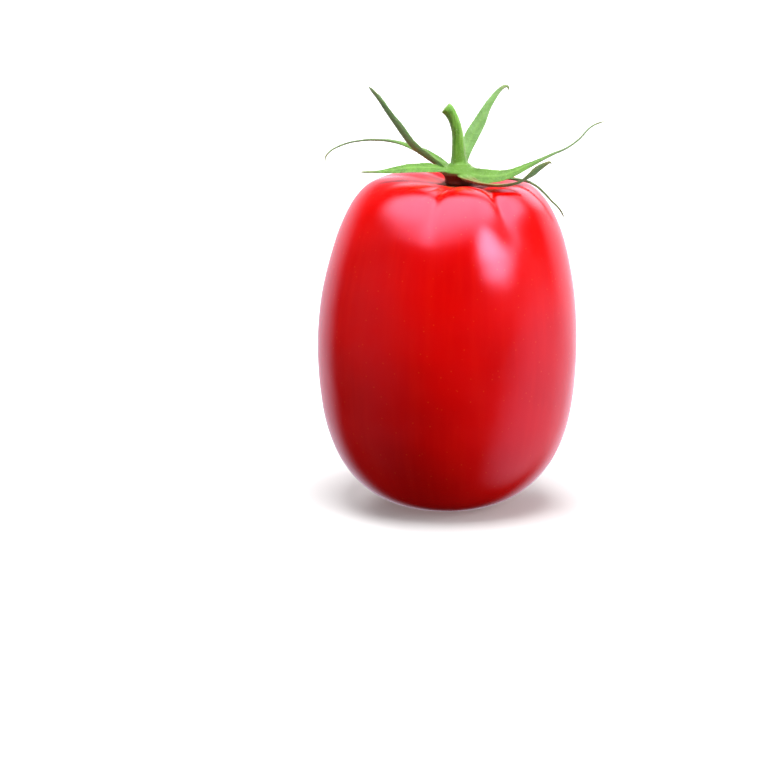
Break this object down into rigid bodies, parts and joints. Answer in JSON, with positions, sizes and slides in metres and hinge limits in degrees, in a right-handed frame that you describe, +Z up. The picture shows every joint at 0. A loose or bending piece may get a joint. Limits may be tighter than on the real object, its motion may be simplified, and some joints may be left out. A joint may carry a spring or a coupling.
{
  "type": "tomato",
  "caption": "Ripe red plum tomato with its green calyx and a short curved stem, standing upright on its blossom end",
  "frame": {"origin": "centre of the small flat spot at the blossom end that the tomato stands on", "axes": "+Z up from the blossom end to the stem, -Y towards the picture's viewer, +X to the viewer's right"},
  "size_m": [0.0584, 0.0527, 0.0869],
  "materials": {
    "fruit_skin": "smooth glossy ripe red skin",
    "calyx_green": "fine-haired matt green leaf, paler on its upper face",
    "stem_green": "fine-haired satin green stalk with a pale cut end"
  },
  "bodies": {
    "root": {"fruit": "fruit_skin", "calyx": "calyx_green", "stem": "stem_green"}
  },
  "joints": []
}
